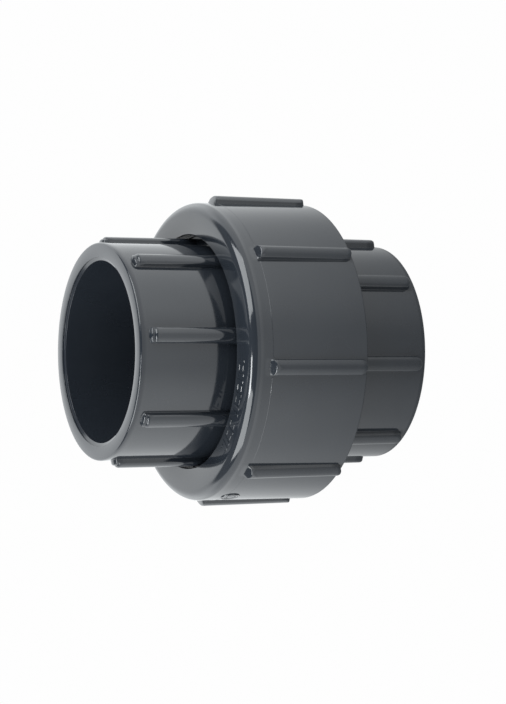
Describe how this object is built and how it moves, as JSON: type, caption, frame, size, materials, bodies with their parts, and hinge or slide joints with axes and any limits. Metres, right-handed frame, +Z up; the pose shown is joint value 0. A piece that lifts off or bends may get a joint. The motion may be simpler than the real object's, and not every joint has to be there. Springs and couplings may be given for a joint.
{
  "type": "pipe union",
  "caption": "Grey plastic pipe union: two ribbed glue sockets drawn face to face on an O-ring by a large ribbed nut with a real thread.",
  "frame": {"origin": "middle of the closed union, on the pipe's axis", "axes": "+X along the pipe from the flanged socket to the threaded socket, +Z up"},
  "size_m": [0.1088, 0.11, 0.11],
  "materials": {
    "grey_pvc": "semi-gloss moulded",
    "black_rubber": "matte"
  },
  "bodies": {
    "threaded_end": {"threaded_socket": "grey_pvc", "o_ring": "black_rubber"},
    "flanged_end": {"flanged_socket": "grey_pvc"},
    "nut": {"union_nut": "grey_pvc"}
  },
  "joints": [
    {"name": "end_draw_off", "type": "slide", "parent": "threaded_end", "child": "flanged_end", "axis": [-1, 0, 0], "range_m": [0, 0.0251]},
    {"name": "nut_turn", "type": "hinge", "parent": "flanged_end", "child": "nut", "pos_m": [0, 0, 0], "axis": [-1, 0, 0], "range_deg": [0, 1800]}
  ],
  "couplings": [
    {"joint": "end_draw_off", "follows": "nut_turn", "m_per_rad": 0.00079577}
  ]
}
